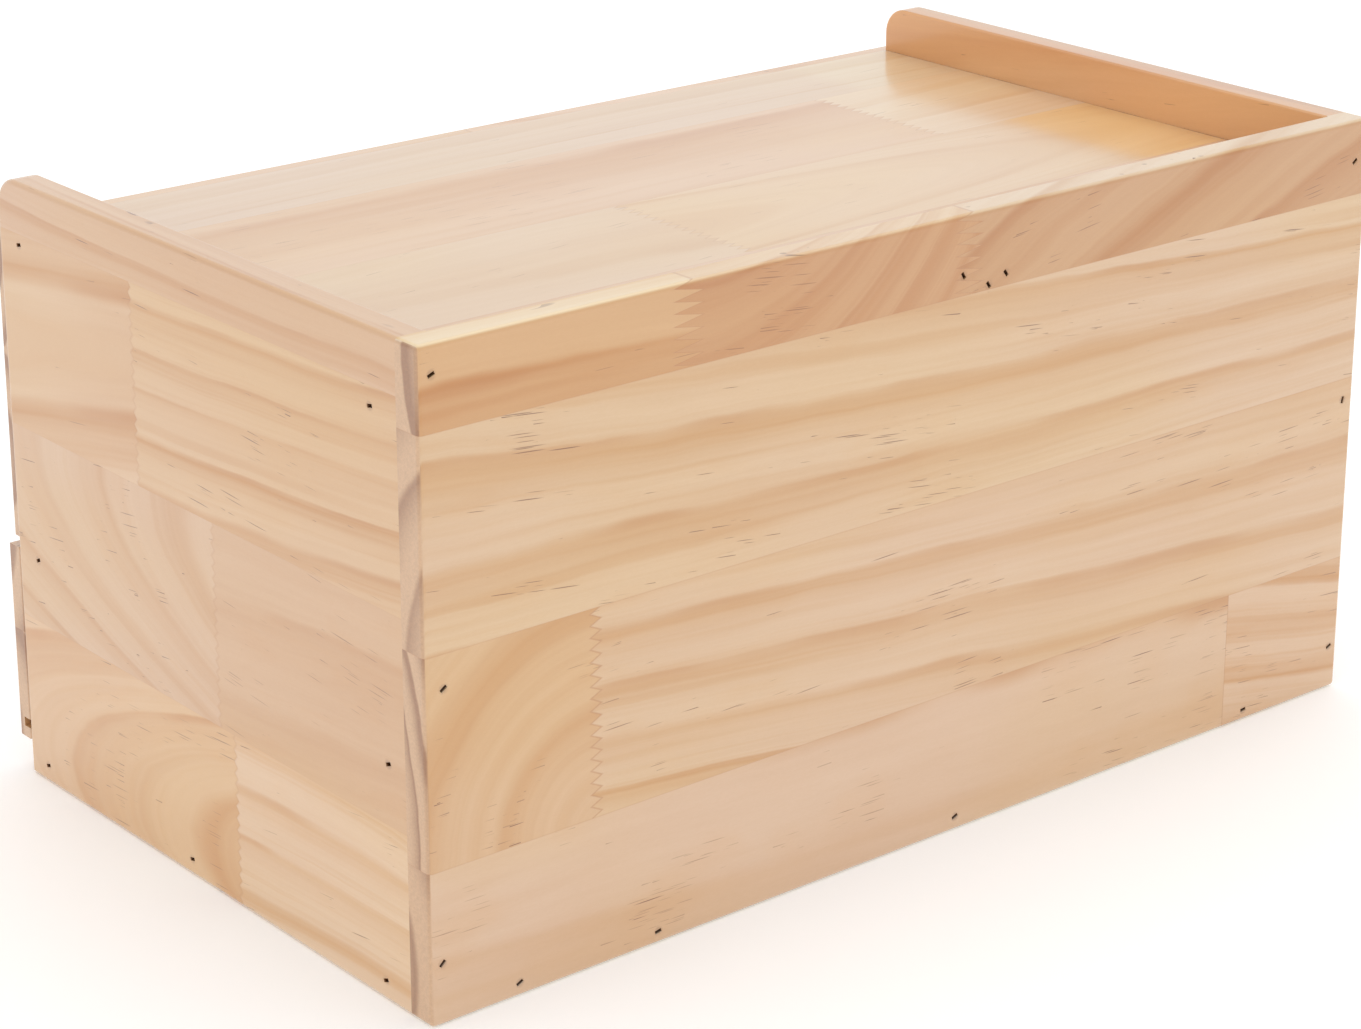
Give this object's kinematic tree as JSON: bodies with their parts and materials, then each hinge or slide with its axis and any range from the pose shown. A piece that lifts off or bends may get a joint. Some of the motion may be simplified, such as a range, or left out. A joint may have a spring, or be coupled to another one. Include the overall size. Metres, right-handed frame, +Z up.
{
  "type": "toy box",
  "caption": "Wooden toy box: brad-nailed pine board case, tray top inside a raised rim on the sides and back, and sliding drawers with turned knobs.",
  "frame": {"origin": "centre of the bounding box's bottom face, on the surface the box stands on", "axes": "+Z up, -Y towards the drawer fronts, +Y towards the back panel, +X towards the right side panel as seen from the front"},
  "size_m": [0.395, 0.259, 0.208],
  "materials": {
    "pine_board": "satin",
    "pine_front": "satin",
    "pine_wall": "satin",
    "plywood": "satin",
    "turned_wood": "satin",
    "steel": "satin"
  },
  "bodies": {
    "case": {"left_side_panel": "pine_board", "right_side_panel": "pine_board", "back_panel": "pine_board", "top_board": "pine_board", "middle_shelf": "pine_board", "bottom_board": "pine_board", "side_panel_brads": "steel", "back_panel_brads": "steel"},
    "upper_drawer": {"upper_drawer_front": "pine_front", "upper_drawer_left_side": "pine_wall", "upper_drawer_right_side": "pine_wall", "upper_drawer_back": "pine_wall", "upper_drawer_bottom": "plywood", "upper_drawer_knob": "turned_wood", "upper_drawer_knob_screw": "steel", "upper_drawer_brads": "steel"},
    "lower_drawer": {"lower_drawer_front": "pine_front", "lower_drawer_left_side": "pine_wall", "lower_drawer_right_side": "pine_wall", "lower_drawer_back": "pine_wall", "lower_drawer_bottom": "plywood", "lower_drawer_knob": "turned_wood", "lower_drawer_knob_screw": "steel", "lower_drawer_brads": "steel"}
  },
  "joints": [
    {"name": "upper_drawer_slide", "type": "slide", "parent": "case", "child": "upper_drawer", "axis": [0, -1, 0], "range_m": [0, 0.16]},
    {"name": "lower_drawer_slide", "type": "slide", "parent": "case", "child": "lower_drawer", "axis": [0, -1, 0], "range_m": [0, 0.16]}
  ]
}
